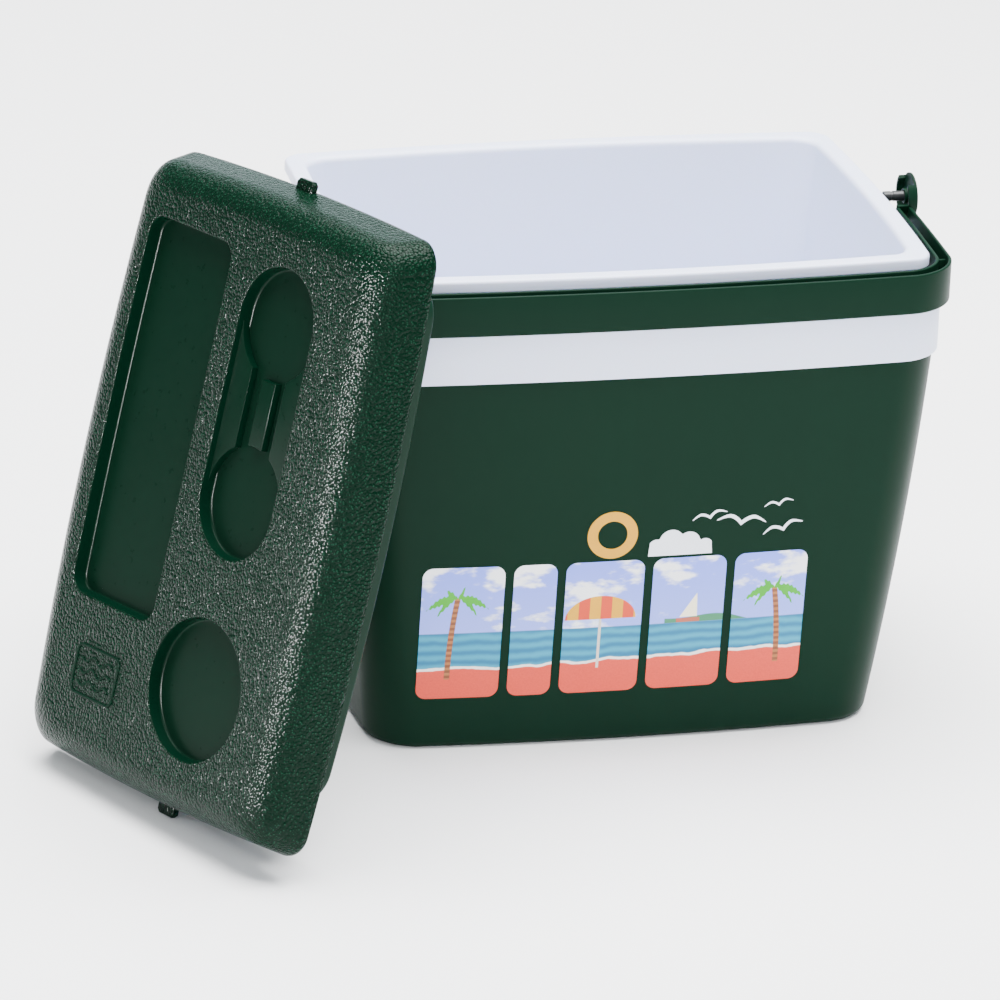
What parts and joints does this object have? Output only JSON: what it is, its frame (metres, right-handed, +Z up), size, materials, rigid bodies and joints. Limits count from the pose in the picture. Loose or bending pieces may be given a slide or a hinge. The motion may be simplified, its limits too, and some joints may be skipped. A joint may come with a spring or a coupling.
{
  "type": "picnic cooler box",
  "caption": "Insulated plastic picnic cooler: tapered double-wall chest with a folding bail handle and a separate plug lid with cup recesses, stood leaning beside it.",
  "frame": {"origin": "centre of the chest's flat underside, on the floor", "axes": "+X along the chest's length to its right, +Y to its back, +Z up"},
  "size_m": [0.6101, 0.4687, 0.409],
  "materials": {
    "body_green": "satin, smooth",
    "lid_green": "pebble-grained",
    "liner_white": "satin, smooth",
    "stud_black": "satin",
    "foam": "expanded foam",
    "print_blue": "printed ink",
    "print_yellow": "printed ink",
    "print_white": "printed ink"
  },
  "bodies": {
    "chest": {"outer_shell": "body_green", "foam_jacket": "foam", "inner_liner": "liner_white", "stud_left": "stud_black", "stud_right": "stud_black", "front_panels": "print_blue", "front_sun": "print_yellow", "front_cloud": "print_white", "front_birds": "print_white"},
    "handle": {"handle": "body_green"},
    "lid": {"lid_shell": "lid_green", "lid_plate": "body_green", "lid_foam": "foam", "lid_emblem": "lid_green"}
  },
  "joints": [
    {"name": "handle_hinge", "type": "hinge", "parent": "chest", "child": "handle", "pos_m": [0, 0, 0.33], "axis": [-1, 0, 0], "range_deg": [0, 180]},
    {"name": "lid_lift", "type": "slide", "parent": "chest", "child": "lid", "axis": [0, 0, 1], "range_m": [0, 0.3]}
  ]
}
